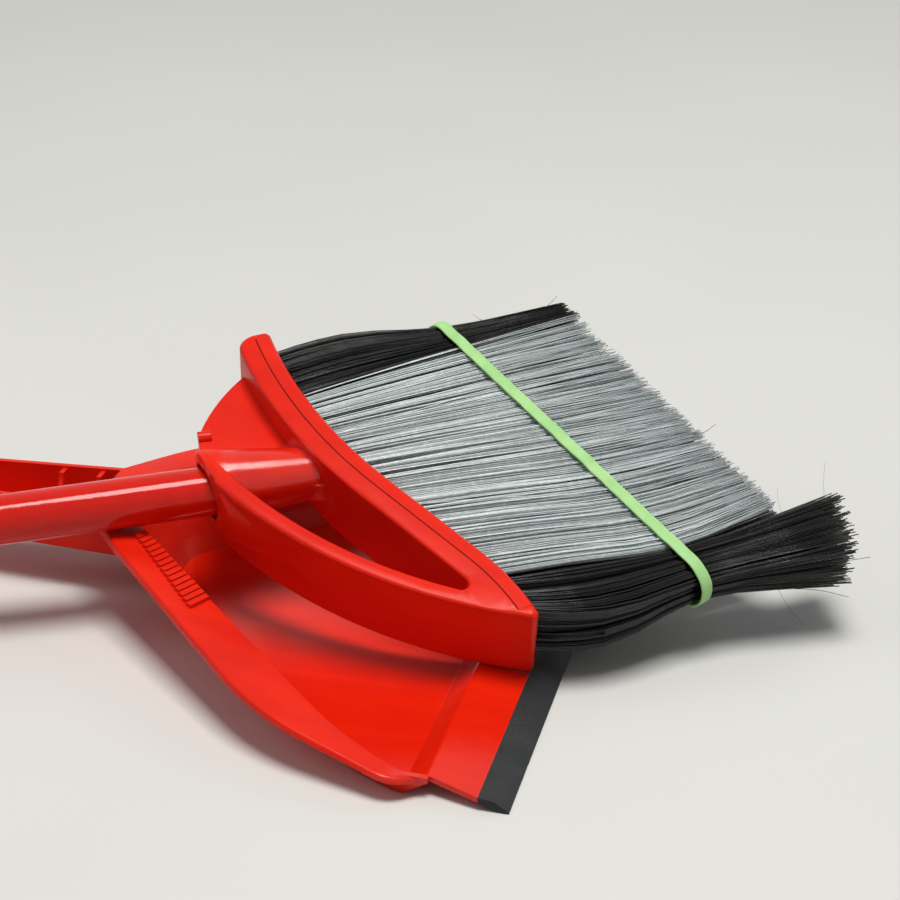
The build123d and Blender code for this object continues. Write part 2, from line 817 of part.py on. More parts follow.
# Elastic band round the bristles
with BuildPart() as bristle_band:
    band_slant = atan2(band_near_v - band_far_v, band_near_u - band_far_u)
    band_middle = head_point((band_far_u + band_near_u) / 2, (band_far_v + band_near_v) / 2)
    along = head_plane.x_dir * cos(band_slant) + head_plane.y_dir * sin(band_slant)
    with BuildSketch(Plane(band_middle, x_dir=along, z_dir=along.cross(head_plane.z_dir))):
        SlotOverall(band_run + 2 * band_thickness, 2 * (band_half_thickness + band_thickness))
        SlotOverall(band_run, 2 * band_half_thickness, mode=Mode.SUBTRACT)
    extrude(amount=band_width / 2, both=True)
bristle_band.part.label = "bristle_band"
export_step(bristle_band.part, "parts/bristle_band.step")

# Pole: painted tube, threaded tip and end cap
tube_front = head_origin + pole_direction * pole_insertion
tube_back = tube_front - pole_direction * pole_length
with BuildPart() as pole_tube:
    with BuildSketch(Plane(tube_back, z_dir=pole_direction)):
        Circle(pole_radius)
        Circle(pole_radius - pole_wall, mode=Mode.SUBTRACT)
    extrude(amount=pole_length)
pole_tube.part.label = "pole_tube"
export_step(pole_tube.part, "parts/pole_tube.step")

with BuildPart() as pole_thread_tip:
    with BuildSketch(Plane(tube_front, x_dir=pole_direction, z_dir=lateral)):
        with BuildLine():
            Polyline(
                (-thread_plug_length, 0),
                (-thread_plug_length, pole_radius - pole_wall),
                (0, pole_radius - pole_wall),
                (0, pole_radius),
                (thread_flange, pole_radius),
                (thread_flange, thread_radius),
                (thread_flange + thread_length, thread_radius),
                (thread_flange + thread_length, 0),
                close=True,
            )
        make_face()
    revolve(axis=pole_axis)
pole_thread_tip.part.label = "pole_thread_tip"
export_step(pole_thread_tip.part, "parts/pole_thread_tip.step")

with BuildPart() as pole_end_cap:
    with BuildSketch(Plane(tube_back, x_dir=pole_direction, z_dir=lateral)):
        with BuildLine():
            Polyline(
                (0, 0),
                (0, pole_radius),
                (cap_sleeve, pole_radius),
                (cap_sleeve, cap_radius),
                (-cap_nose, cap_radius),
                (-cap_nose, 0),
                close=True,
            )
        make_face()
    revolve(axis=pole_axis)
    with Locations(Plane(tube_back - pole_direction * cap_nose, x_dir=lateral, z_dir=pole_direction)):
        for side in (-1, 1):
            with Locations((0, side * (cap_flat + cap_radius), 0)):
                Box(2 * cap_radius, 2 * cap_radius, 2 * cap_flat_run, mode=Mode.SUBTRACT)
    chamfer(pole_end_cap.faces().sort_by(pole_axis)[0].edges(), cap_nose_chamfer)
    with Locations(Plane(tube_back - pole_direction * cap_hole_back, z_dir=head_plane.z_dir)):
        Cylinder(cap_hole_radius, 2 * cap_radius, mode=Mode.SUBTRACT)
pole_end_cap.part.label = "pole_end_cap"
export_step(pole_end_cap.part, "parts/pole_end_cap.step")

print("pole axis through", tuple(head_origin), "along", tuple(pole_direction))
print("head's top faces", tuple(head_plane.z_dir))
print("cap hole at", tuple(tube_back - pole_direction * cap_hole_back))
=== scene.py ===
"""Looks of a red angle broom that lies loose on its dust pan.

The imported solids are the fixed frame, in metres. This script gives the mouldings, the lip and the pole
their finishes, and puts fine strands and a soft elastic band in the place of the plain soft solids.
"""

import logging
import math
from dataclasses import dataclass, field
from enum import Enum

import bpy
import numpy as np
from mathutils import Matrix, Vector


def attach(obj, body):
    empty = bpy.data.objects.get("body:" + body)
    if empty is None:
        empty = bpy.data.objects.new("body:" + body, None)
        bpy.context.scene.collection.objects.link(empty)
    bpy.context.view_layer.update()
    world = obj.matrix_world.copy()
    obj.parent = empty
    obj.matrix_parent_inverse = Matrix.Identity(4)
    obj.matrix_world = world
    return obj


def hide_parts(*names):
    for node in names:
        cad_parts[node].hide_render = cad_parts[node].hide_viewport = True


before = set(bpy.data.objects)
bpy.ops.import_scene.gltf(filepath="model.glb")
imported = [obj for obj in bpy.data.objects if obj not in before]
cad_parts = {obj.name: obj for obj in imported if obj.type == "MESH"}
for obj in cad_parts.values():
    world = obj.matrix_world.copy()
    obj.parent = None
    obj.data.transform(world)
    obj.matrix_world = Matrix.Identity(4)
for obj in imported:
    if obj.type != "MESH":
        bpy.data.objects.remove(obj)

LOG = logging.getLogger("broom_and_pan")
MM = 0.001
BROOM_BODY = "broom"
UPWARD = (0.0, 0.0, 1.0)
ORIGIN = (0.0, 0.0, 0.0)

Colour = tuple[float, float, float]
Place = tuple[float, float, float]
Point = tuple[float, float]
Span = tuple[float, float]
# Limits of a smooth step, and its results there
Step = tuple[float, float, float, float]
Array = np.ndarray
Node = bpy.types.Node
Socket = bpy.types.NodeSocket
Tree = bpy.types.NodeTree
Material = bpy.types.Material
Mesh = bpy.types.Mesh
Piece = bpy.types.Object

# Span that holds most of a noise output
NOISE: Span = (0.3, 0.7)
# Cosines of the normal's turn at which an edge starts and is full
EDGE_TURN: Span = (0.98, 0.78)
# Root and end of each stray hair in the head's frame, in millimetres
STRAY_HAIRS: tuple[tuple[Place, Place], ...] = (
    ((255.9, -104.0, -9.0), (266.2, -119.6, -20.0)),
    ((262.0, -103.0, -11.0), (289.1, -112.0, -13.0)),
    ((287.0, -71.0, 13.0), (290.5, -57.8, 23.0)),
    ((264.5, -76.0, 11.0), (264.2, -66.2, 19.0)),
    ((186.0, 84.0, 9.0), (198.5, 91.1, 13.0)),
    ((163.0, 83.0, 9.5), (152.9, 86.6, 12.0)),
    ((197.0, 78.0, 9.0), (206.8, 81.2, 10.0)),
    ((209.0, 45.5, 10.5), (214.1, 49.3, 14.0)),
    ((282.0, -104.0, 5.0), (298.6, -105.4, 6.0)),
    ((239.0, -17.0, 10.5), (251.7, -13.2, 12.0)),
)


class Slot(Enum):
    """Material slots that new pieces take their finish from."""

    GREY_FIBRE = "grey_bristle"
    BLACK_FIBRE = "black_bristle"
    BAND = "band_rubber"
    HEAD = "head_plastic"


class NodeBench:
    """A bench on which one material's shader nodes are put together."""

    def __init__(self, name: str) -> None:
        """Start a material with an empty node tree and a main shader.

        Args:
            name: Name of the material.
        """
        self.material: Material = bpy.data.materials.new(name)
        self.material.use_nodes = True
        self.tree: Tree = self.material.node_tree
        self.tree.nodes.clear()
        output = self.add("ShaderNodeOutputMaterial")
        self.shader: Node = self.add("ShaderNodeBsdfPrincipled")
        self.tree.links.new(self.shader.outputs["BSDF"], output.inputs["Surface"])
        self.place: Socket = self.add("ShaderNodeTexCoord").outputs["Object"]

    def add(self, kind: str, inputs: dict[str | int, object] | None = None, **settings: object) -> Node:
        """Add one node.

        Args:
            kind: Blender's type name of the node.
            inputs: Outputs or constants for its inputs.
            **settings: Properties to set on it.

        Returns:
            The new node.
        """
        node = self.tree.nodes.new(kind)
        for key, value in settings.items():
            setattr(node, key, value)
        for key, value in (inputs or {}).items():
            self.feed(node.inputs[key], value)
        return node

    def feed(self, socket: Socket, value: object) -> None:
        """Link a socket to another one, or give it a constant.

        Args:
            socket: Input to fill.
            value: Another node's output, a number or a tuple.
        """
        if isinstance(value, Socket):
            self.tree.links.new(value, socket)
        else:
            socket.default_value = value

    def set(self, **values: object) -> None:
        """Fill inputs of the main shader, named with underscores for spaces."""
        for key, value in values.items():
            self.feed(self.shader.inputs[key.replace("_", " ")], value)

    def noise(self, cells: float, detail: float = 2.0, place: Socket | None = None) -> Socket:
        """Noise from 0 to 1 with cells per metre, in the object's own frame or at other coordinates."""
        inputs = {"Vector": place or self.place, "Scale": cells, "Detail": detail}
        return self.add("ShaderNodeTexNoise", inputs).outputs["Fac"]

    def drawn_noise(self, way: Place, cells: Place, detail: float) -> Socket:
        """Noise with other cells along a direction than across it.

        Args:
            way: The direction.
            cells: Cells per metre along it and on the two axes across it.
            detail: Octaves of finer noise.

        Returns:
            Output from 0 to 1.
        """
        turn = Vector(way).rotation_difference(Vector((1.0, 0.0, 0.0))).to_euler()
        mapping = self.add("ShaderNodeMapping", {"Vector": self.place, "Rotation": turn, "Scale": cells})
        return self.noise(1.0, detail, mapping.outputs["Vector"])

    def span(
        self, value: Socket, low: float, high: float, to_low: float = 0.0, to_high: float = 1.0
    ) -> Socket:
        """Smooth step of a value: to_low where it is low, to_high where it is high."""
        inputs = {"Value": value, "From Min": low, "From Max": high, "To Min": to_low, "To Max": to_high}
        return self.add("ShaderNodeMapRange", inputs, interpolation_type="SMOOTHSTEP").outputs["Result"]

    def work(self, operation: str, first: Socket, second: object, result: str = "") -> Socket:
        """Arithmetic on two values or two vectors.

        Args:
            operation: Blender's name of the operation.
            first: Output with the first value.
            second: Output or constant.
            result: Name of the result, Vector or Value, if the values are vectors.

        Returns:
            The result.
        """
        kind = "ShaderNodeVectorMath" if result else "ShaderNodeMath"
        node = self.add(kind, {0: first, 1: second}, operation=operation)
        return node.outputs[result or "Value"]

    def away(self, direction: Place, origin: Place) -> Socket:
        """Distance in metres from the line along a direction through an origin."""
        arm = self.work("SUBTRACT", self.place, origin, "Vector")
        return self.work("LENGTH", self.work("CROSS_PRODUCT", arm, direction, "Vector"), ORIGIN, "Value")

    def blend(self, share: Socket, first: object, second: object) -> Socket:
        """Mix of two colours.

        Args:
            share: Output that is 0 for the first colour.
            first: Colour or output.
            second: Colour or output.

        Returns:
            The mixed colour.
        """
        inputs = {0: share}
        for key, value in ((6, first), (7, second)):
            inputs[key] = (*value, 1.0) if isinstance(value, tuple) else value
        return self.add("ShaderNodeMix", inputs, data_type="RGBA").outputs[2]

    def bump(self, height: Socket, depth: float, normal: Socket | None = None) -> Socket:
        """Relief of a given depth.

        Args:
            height: Output from 0 to 1.
            depth: Height of the relief in metres.
            normal: Normal that the relief is added to.

        Returns:
            The new normal.
        """
        inputs = {"Distance": depth, "Height": height}
        if normal is not None:
            inputs["Normal"] = normal
        return self.add("ShaderNodeBump", inputs).outputs["Normal"]

    def round_edges(self, radius: float) -> tuple[Socket, Socket]:
        """Normal that rounds off sharp edges, and how near an edge is.

        Args:
            radius: Radius of the rounding in metres.

        Returns:
            The rounded normal, and a share that is 0 on open faces and grows on edges.
        """
        rounded = self.add("ShaderNodeBevel", {"Radius": radius}, samples=6).outputs["Normal"]
        flat = self.add("ShaderNodeNewGeometry").outputs["Normal"]
        return rounded, self.span(self.work("DOT_PRODUCT", rounded, flat, "Value"), *EDGE_TURN)


def seen_share(tree: Tree) -> Socket:
    """Output that is 1 for what is seen straight, mirrored or through a clear body, and 0 for light.

    Args:
        tree: Node tree of a material or a world.

    Returns:
        The output.
    """
    path = tree.nodes.new("ShaderNodeLightPath")
    share = path.outputs["Is Camera Ray"]
    for way in ("Is Glossy Ray", "Is Transmission Ray"):
        larger = tree.nodes.new("ShaderNodeMath")
        larger.operation = "MAXIMUM"
        tree.links.new(share, larger.inputs[0])
        tree.links.new(path.outputs[way], larger.inputs[1])
        share = larger.outputs[0]
    return share


def net(rows: int, columns: int, close_rows: bool, close_columns: bool) -> Array:
    """Faces between neighbouring points that lie in rows.

    Args:
        rows: Count of rows.
        columns: Points in each row.
        close_rows: Whether the last row joins the first.
        close_columns: Whether a row's last point joins its first.

    Returns:
        Four point numbers for each face.
    """
    row, column = np.divmod(np.arange(rows * columns), columns)
    kept = (close_rows | (row < rows - 1)) & (close_columns | (column < columns - 1))
    here, ahead, after = row * columns, (row + 1) % rows * columns, (column + 1) % columns
    return np.stack([here + column, here + after, ahead + after, ahead + column], axis=-1)[kept]


def new_piece(mesh: Mesh, finish: Material, stands_for: str | None = None) -> Piece:
    """Put a mesh into the scene as a piece that rides on the broom.

    Args:
        mesh: The mesh, which also names the piece.
        finish: Its finish.
        stands_for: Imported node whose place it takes.

    Returns:
        The new piece.
    """
    mesh.materials.append(finish)
    piece = bpy.data.objects.new(mesh.name, mesh)
    bpy.context.scene.collection.objects.link(piece)
    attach(piece, BROOM_BODY)
    if stands_for is not None:
        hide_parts(stands_for)
    return piece


@dataclass(frozen=True)
class MouldedPlastic:
    """Red moulded plastic: grain, faint flow streaks, handling scuffs, and rounded edges painted lighter,
    partly as wear and partly as a painted highlight.

    Cells are noise cells per metre, and depths of relief are in metres.
    """

    name: str
    colour: Colour = (0.76, 0.017, 0.0035)
    deep: Colour = (0.66, 0.011, 0.0025)
    # Lighter edge colour: partly worn plastic, partly a painted highlight on the rounded edges
    edge: Colour = (0.84, 0.040, 0.014)
    flow: Place = (1.0, 0.0, 0.0)
    roughness: float = 0.33
    gloss: float = 0.17
    polished_roughness: float = 0.05
    polished_gloss: float = 0.5
    polished_height: float = -1.0
    height_fade: float = 0.0015
    polished_axis: tuple[Place, Place] | None = None
    polished_reach: float = 0.0
    reach_fade: float = 0.0005
    edge_radius: float = 0.0006
    streak_cells: Place = (7.0, 90.0, 90.0)
    streak_share: float = 0.45
    cloud_cells: float = 14.0
    cloud_roughness: Step = (*NOISE, -0.02, 0.04)
    tone_span: Span = (0.35, 0.66)
    wear_and_highlight_cells: float = 120.0
    wear_and_highlight_share: Step = (0.3, 0.75, 0.25, 0.75)
    scuff_way: Place = (0.83, 0.5, 0.1)
    scuff_cells: Place = (60.0, 900.0, 900.0)
    scuff_roughness: Step = (0.66, 0.74, 0.0, 0.1)
    grain_cells: float = 2600.0
    grain: float = 0.00005
    sink_cells: float = 38.0
    sink: float = 0.00022

    def material(self) -> Material:
        """Put the finish together.

        Returns:
            The new material.
        """
        bench = NodeBench(self.name)
        normal, edge = bench.round_edges(self.edge_radius)
        streaks = bench.drawn_noise(self.flow, self.streak_cells, 3.0)
        clouds = bench.noise(self.cloud_cells, 3.0)
        streaked = bench.work("MULTIPLY", streaks, self.streak_share)
        clouded = bench.work("MULTIPLY", clouds, 1.0 - self.streak_share)
        tone = bench.span(bench.work("ADD", streaked, clouded), *self.tone_span)
        wear_and_highlight = bench.span(bench.noise(self.wear_and_highlight_cells), *self.wear_and_highlight_share)
        scuffs = bench.drawn_noise(self.scuff_way, self.scuff_cells, 5.0)
        satin = self.satin_share(bench)
        level = bench.span(satin, 0.0, 1.0, self.polished_roughness, self.roughness)
        level = bench.work("ADD", level, bench.span(clouds, *self.cloud_roughness))
        grain = bench.bump(bench.noise(self.grain_cells), self.grain, normal)
        body = bench.blend(tone, self.deep, self.colour)
        bench.set(
            # Rounded edges lighten towards the edge colour where the noise lets them: partly wear, partly a
            # painted highlight
            Base_Color=bench.blend(bench.work("MULTIPLY", edge, wear_and_highlight), body, self.edge),
            Roughness=bench.work("ADD", level, bench.span(scuffs, *self.scuff_roughness)),
            Normal=bench.bump(bench.noise(self.sink_cells, 1.0), self.sink, grain),
            Specular_IOR_Level=bench.span(satin, 0.0, 1.0, self.polished_gloss, self.gloss),
        )
        return bench.material

    def satin_share(self, bench: NodeBench) -> Socket:
        """How satin the surface is: 0 where the mould was polished, 1 elsewhere.

        Args:
            bench: Bench of the material.

        Returns:
            The share.
        """
        if self.polished_axis is None:
            limit, fade = self.polished_height, self.height_fade
            height = bench.work("DOT_PRODUCT", bench.place, UPWARD, "Value")
            return bench.span(height, limit - fade, limit + fade)
        origin, direction = self.polished_axis
        limit, fade = self.polished_reach, self.reach_fade
        return bench.span(bench.away(direction, origin), limit - fade, limit + fade)


@dataclass(frozen=True)
class PolePaint:
    """Glossy red coating on the tube, with orange peel, a drawn tube's streaks and rub marks."""

    name: str
    way: Place
    colour: Colour = (0.62, 0.009, 0.0025)
    deep: Colour = (0.58, 0.0075, 0.0022)
    roughness: Step = (*NOISE, 0.07, 0.1)
    patch_cells: float = 30.0
    streak_cells: Place = (5.0, 420.0, 420.0)
    streak: float = 0.00002
    rub_cells: Place = (260.0, 30.0, 30.0)
    rub_roughness: Step = (0.6, 0.75, 0.0, 0.06)
    peel_cells: float = 420.0
    peel: float = 0.00003

    def material(self) -> Material:
        """Put the finish together.

        Returns:
            The new material.
        """
        bench = NodeBench(self.name)
        streaks = bench.drawn_noise(self.way, self.streak_cells, 4.0)
        rubs = bench.span(bench.drawn_noise(self.way, self.rub_cells, 4.0), *self.rub_roughness)
        patches = bench.span(bench.noise(self.patch_cells), *self.roughness)
        peel = bench.bump(bench.noise(self.peel_cells, 1.0), self.peel)
        bench.set(
            Base_Color=bench.blend(bench.span(streaks, *NOISE), self.deep, self.colour),
            Roughness=bench.work("ADD", patches, rubs),
            Normal=bench.bump(streaks, self.streak, peel),
            Specular_IOR_Level=0.2,
            Coat_Weight=0.1,
            Coat_Roughness=0.05,
        )
        return bench.material


@dataclass(frozen=True)
class SoftRubber:
    """Matt rubber or black moulding: fine grain, pale dust in the grain, and smoother edges painted paler,
    partly as dust and partly as a painted highlight.
    """

    name: str
    colour: Colour
    dusty: Colour
    roughness: float
    uneven: Span = (-0.06, 0.1)
    edge_radius: float = 0.0004
    edge_dust_and_highlight_share: float = 0.5
    smear_way: Place = (0.0, 1.0, 0.0)
    smear_cells: Place = (9.0, 45.0, 45.0)
    smear_span: Span = (0.42, 0.72)
    dust_share: Step = (0.35, 0.7, 0.0, 0.6)
    grain_cells: float = 1500.0
    grain: float = 0.00006

    def material(self) -> Material:
        """Put the finish together.

        Returns:
            The new material.
        """
        bench = NodeBench(self.name)
        normal, edge = bench.round_edges(self.edge_radius)
        smears = bench.drawn_noise(self.smear_way, self.smear_cells, 4.0)
        grain = bench.noise(self.grain_cells, 3.0)
        dust = bench.work("MULTIPLY", bench.span(smears, *self.smear_span), bench.span(grain, *self.dust_share))
        body = bench.blend(dust, self.colour, self.dusty)
        limits = (self.roughness + part for part in self.uneven)
        bench.set(
            # Rounded edges blend towards the pale dust colour: partly dust, partly a painted highlight
            Base_Color=bench.blend(bench.work("MULTIPLY", edge, self.edge_dust_and_highlight_share), body, self.dusty),
            Roughness=bench.span(smears, *NOISE, *limits),
            Normal=bench.bump(grain, self.grain, normal),
            Specular_IOR_Level=0.25,
        )
        return bench.material


@dataclass(frozen=True)
class Fibre:
    """Drawn plastic fibre, each strand in its own tone and duller towards its cut tip, where its colour
    darkens, partly as flagged tips and partly as painted shade between the strands.
    """

    name: str
    dark: Colour
    light: Colour
    # Colour towards the cut tip: partly flagged tips, partly painted shade between the strands
    tip: Colour
    roughness: float
    gloss: float
    mottle_cells: float = 300.0
    mottle_tone: Step = (*NOISE, -0.08, 0.08)
    mottle_span: Span = (0.2, 0.8)
    uneven: Span = (-0.05, 0.06)
    tip_darkening_and_shade_share: Step = (0.5, 1.0, 0.0, 0.45)
    dull_roughness: Step = (0.55, 1.0, 0.0, 0.16)

    def material(self) -> Material:
        """Put the finish together.

        Returns:
            The new material.
        """
        bench = NodeBench(self.name)
        tone = bench.add("ShaderNodeAttribute", attribute_name="strand_tone").outputs["Fac"]
        reach = bench.add("ShaderNodeAttribute", attribute_name="strand_reach").outputs["Fac"]
        mottle = bench.noise(self.mottle_cells)
        tone = bench.work("ADD", tone, bench.span(mottle, *self.mottle_tone))
        tip_darkening_and_shade, dulled = bench.span(reach, *self.tip_darkening_and_shade_share), bench.span(reach, *self.dull_roughness)
        limits = (self.roughness + part for part in self.uneven)
        bench.set(
            # Colour darkens towards the tip: partly flagged tips, partly painted shade between the strands
            Base_Color=bench.blend(tip_darkening_and_shade, bench.blend(tone, self.dark, self.light), self.tip),
            Roughness=bench.work("ADD", dulled, bench.span(mottle, *self.mottle_span, *limits)),
            Specular_IOR_Level=self.gloss,
        )
        return bench.material


@dataclass(frozen=True)
class StretchedRubber:
    """Pale green elastic: fine stretch lines across it, a talc bloom and a little light let through."""

    name: str
    way: Place
    colour: Colour = (0.31, 0.60, 0.21)
    pale: Colour = (0.40, 0.68, 0.28)
    roughness: Step = (*NOISE, 0.46, 0.62)
    bloom_cells: float = 90.0
    line_cells: Place = (900.0, 120.0, 120.0)
    line: float = 0.00008

    def material(self) -> Material:
        """Put the finish together.

        Returns:
            The new material.
        """
        bench = NodeBench(self.name)
        lines = bench.drawn_noise(self.way, self.line_cells, 3.0)
        bloom = bench.noise(self.bloom_cells, 4.0)
        bench.set(
            Base_Color=bench.blend(bench.span(bloom, *NOISE), self.colour, self.pale),
            Roughness=bench.span(bloom, *self.roughness),
            Normal=bench.bump(lines, self.line),
            Subsurface_Weight=0.15,
            Subsurface_Radius=(0.0016, 0.002, 0.0014),
            Subsurface_Scale=1.0,
            Specular_IOR_Level=0.4,
        )
        return bench.material


@dataclass(frozen=True)
class StudioPaper:
    """Plain pale floor with the faintest unevenness, which runs out into the pale background."""

    name: str = "studio_paper"
    colour: Colour = (0.66, 0.66, 0.635)
    shade: Colour = (0.64, 0.64, 0.615)
    background: Colour = (0.65, 0.65, 0.62)
    fade: Span = (1.15, 2.2)
    cells: float = 3.0
    gloss: float = 0.2

    def material(self) -> Material:
        """Put the finish together.

        Returns:
            The new material.
        """
        bench = NodeBench(self.name)
        paper = bench.blend(bench.span(bench.noise(self.cells), *NOISE), self.shade, self.colour)
        far = bench.span(bench.away(UPWARD, ORIGIN), *self.fade)
        share = bench.work("MULTIPLY", far, seen_share(bench.tree))
        bench.set(
            Base_Color=bench.blend(share, paper, (0.0, 0.0, 0.0)),
            Roughness=0.75,
            Specular_IOR_Level=bench.span(far, 0.0, 1.0, self.gloss, 0.0),
            Emission_Color=(*self.background, 1.0),
            Emission_Strength=share,
        )
        return bench.material


@dataclass
class EdgeSoftener:
    """Modifiers that shade small chamfers as roundings and keep a moulding's corners and creases."""

    corner_angle: float = math.radians(52.0)
    crease_angle: float = math.radians(20.0)
    weld_distance: float = 2e-5
    group: Tree = field(init=False)

    def __post_init__(self) -> None:
        """Make the node group that welds the facets and marks the sharp edges."""
        self.group = bpy.data.node_groups.new("moulded_edges", "GeometryNodeTree")
        for way in ("INPUT", "OUTPUT"):
            self.group.interface.new_socket("Geometry", in_out=way, socket_type="NodeSocketGeometry")
        new, link = self.group.nodes.new, self.group.links.new
        clear = new("GeometryNodeRemoveAttribute")
        clear.inputs["Name"].default_value = "custom_normal"
        weld = new("GeometryNodeMergeByDistance")
        weld.inputs["Distance"].default_value = self.weld_distance
        smooth = new("GeometryNodeSetShadeSmooth")
        sharp = new("GeometryNodeSetShadeSmooth")
        sharp.domain = "EDGE"
        sharp.inputs["Shade Smooth"].default_value = False
        angle = new("GeometryNodeInputMeshEdgeAngle")
        either = new("FunctionNodeBooleanMath")
        either.operation = "OR"
        limits = (
            ("Unsigned Angle", "GREATER_THAN", self.corner_angle),
            ("Signed Angle", "LESS_THAN", -self.crease_angle),
        )
        for socket, (reading, operation, limit) in zip(either.inputs, limits):
            compare = new("FunctionNodeCompare")
            compare.operation = operation
            compare.inputs[1].default_value = limit
            link(angle.outputs[reading], compare.inputs[0])
            link(compare.outputs[0], socket)
        link(either.outputs[0], sharp.inputs["Selection"])
        chain = [new("NodeGroupInput"), clear, weld, smooth, sharp, new("NodeGroupOutput")]
        for first, second in zip(chain, chain[1:]):
            link(first.outputs[0], second.inputs[0])

    def dress(self, node: str, material: Material) -> Piece:
        """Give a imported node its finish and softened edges.

        Args:
            node: Name of the node.
            material: Its finish.

        Returns:
            The node's object.
        """
        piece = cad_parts[node]
        piece.data.materials.clear()
        piece.data.materials.append(material)
        piece.modifiers.new("moulded_edges", "NODES").node_group = self.group
        weighted = piece.modifiers.new("even_shading", "WEIGHTED_NORMAL")
        weighted.keep_sharp = True
        return piece


@dataclass(frozen=True)
class HeadFrame:
    """The broom head's own frame: along the pole, across the head and up from its middle plane."""

    origin: Place = (-0.0616525, -0.0209026, 0.0615530)
    along: Place = (0.8917552, 0.4504580, 0.0431307)
    up: Place = (0.1185215, -0.3244864, 0.9384355)

    @property
    def across(self) -> Place:
        """Direction across the head, to its far side."""
        return tuple(Vector(self.up).cross(Vector(self.along)))

    def places(self, local: Array) -> Array:
        """Points of the set's frame in metres, for points of the head's frame in millimetres."""
        axes = np.array([Vector(way) for way in (self.along, self.across, self.up)])
        return np.array(Vector(self.origin)) + MM * (local @ axes)


@dataclass
class BristleEdge:
    """The curved edge of the tuft block that the bristles leave, in the head's plane."""

    far_along: float = 47.0
    far_across: float = 85.0
    heading: float = math.radians(-84.0)
    hollow_radius: float = 259.0
    hollow_turn: float = math.radians(25.8)
    straight: float = 62.0
    tail_radius: float = 143.0
    tail_turn: float = math.radians(20.0)

    @property
    def length(self) -> float:
        """Whole run of the edge."""
        return self.hollow_radius * self.hollow_turn + self.straight + self.tail_radius * self.tail_turn

    def at(self, run: Array, inset: float) -> tuple[Array, Array]:
        """Points of the edge, and the way the bristles leave it.

        Args:
            run: Runs along the edge.
            inset: Depth into the block.

        Returns:
            Points and outward directions, two numbers each.
        """
        hollow_run = self.hollow_radius * self.hollow_turn
        turned = self.heading + np.minimum(run, hollow_run) / self.hollow_radius
        ahead = np.clip(run - hollow_run, 0.0, self.straight)
        heading = turned - np.maximum(run - hollow_run - self.straight, 0.0) / self.tail_radius
        u = self.far_along + self.hollow_radius * (np.sin(turned) - math.sin(self.heading))
        v = self.far_across - self.hollow_radius * (np.cos(turned) - math.cos(self.heading))
        u = u + ahead * np.cos(turned) + self.tail_radius * (np.sin(turned) - np.sin(heading))
        v = v + ahead * np.sin(turned) - self.tail_radius * (np.cos(turned) - np.cos(heading))
        outward = np.stack([-np.sin(heading), np.cos(heading)], axis=-1)
        return np.stack([u, v], axis=-1) - inset * outward, outward


@dataclass
class ElasticBand:
    """Flat elastic band stretched round the bristles, a little wavy. Sizes are in millimetres."""

    head: HeadFrame
    far: Point = (132.0, 88.0)
    near: Point = (218.0, -108.0)
    half: float = 12.5
    width: float = 6.0
    thickness: float = 1.2
    corner: float = 0.4
    corner_steps: int = 2
    lift: float = 0.15
    drift: float = 0.5
    drift_waves: range = range(2, 9)
    ripple: float = 0.05
    ripple_waves: range = range(12, 40, 4)
    steps: int = 240
    seed: int = 7

    @property
    def direction(self) -> Place:
        """Direction of the band's run in the set's frame."""
        run = (Vector(self.near) - Vector(self.far)).normalized()
        return tuple(Vector(self.head.along) * run.x + Vector(self.head.across) * run.y)

    def loop(self) -> tuple[Array, Array]:
        """The band's middle line in its own plane, and the outward direction there.

        Returns:
            Points and directions, along its run and up.
        """
        radius = self.half + self.thickness / 2
        flat = math.dist(self.far, self.near) / 2 - self.half
        whole = 4 * flat + math.tau * radius
        side, rest = np.divmod(np.arange(self.steps) / self.steps * whole, whole / 2)
        turn = np.maximum(rest - 2 * flat, 0.0) / radius
        outward = np.stack([np.sin(turn), np.cos(turn)], axis=-1)
        points = radius * outward
        points[:, 0] += np.minimum(rest, 2 * flat) - flat
        sign = np.where(side < 1, 1.0, -1.0)[:, None]
        return sign * points, sign * outward

    def section(self) -> Array:
        """Rounded outline of the band, across its width and through its thickness.

        Returns:
            Points in millimetres.
        """
        outline = []
        for quarter, (x, y) in enumerate(((1, 1), (-1, 1), (-1, -1), (1, -1))):
            for step in range(self.corner_steps + 1):
                turn = math.tau / 4 * (quarter + step / self.corner_steps)
                aside = x * (self.width / 2 - self.corner) + self.corner * math.cos(turn)
                height = y * (self.thickness / 2 - self.corner) + self.corner * math.sin(turn)
                outline.append((aside, height))
        return np.array(outline)

    def build(self, finish: Material) -> Piece:
        """Build the band in the place of its plain solid.

        Args:
            finish: Its finish.

        Returns:
            The new piece.
        """
        chance = np.random.default_rng(self.seed)
        points, outward = self.loop()
        section = self.section()
        phase = math.tau * np.arange(self.steps) / self.steps
        drift, ripple = np.zeros(self.steps), np.zeros(self.steps)
        for wave in self.drift_waves:
            size = chance.normal(0.0, self.drift / wave)
            drift += size * np.sin(wave * phase + chance.uniform(0.0, math.tau))
        for wave in self.ripple_waves:
            size = chance.normal(0.0, self.ripple)
            ripple += size * np.sin(wave * phase + chance.uniform(0.0, math.tau))
        run = (np.array(self.near) - np.array(self.far)) / math.dist(self.near, self.far)
        middle = (np.array(self.far) + np.array(self.near)) / 2
        lift = ripple[:, None] + section[None, :, 1] + self.lift
        aside = drift[:, None] + section[None, :, 0]
        reach = points[:, None, 0] + lift * outward[:, None, 0]
        height = points[:, None, 1] + lift * outward[:, None, 1]
        along = middle[0] + reach * run[0] - aside * run[1]
        across = middle[1] + reach * run[1] + aside * run[0]
        local = np.stack([along, across, height], axis=-1)
        faces = net(self.steps, len(section), True, True)
        mesh = bpy.data.meshes.new("elastic_band")
        mesh.from_pydata(self.head.places(local.reshape(-1, 3)).tolist(), [], faces.tolist())
        mesh.shade_smooth()
        return new_piece(mesh, finish, "bristle_band")


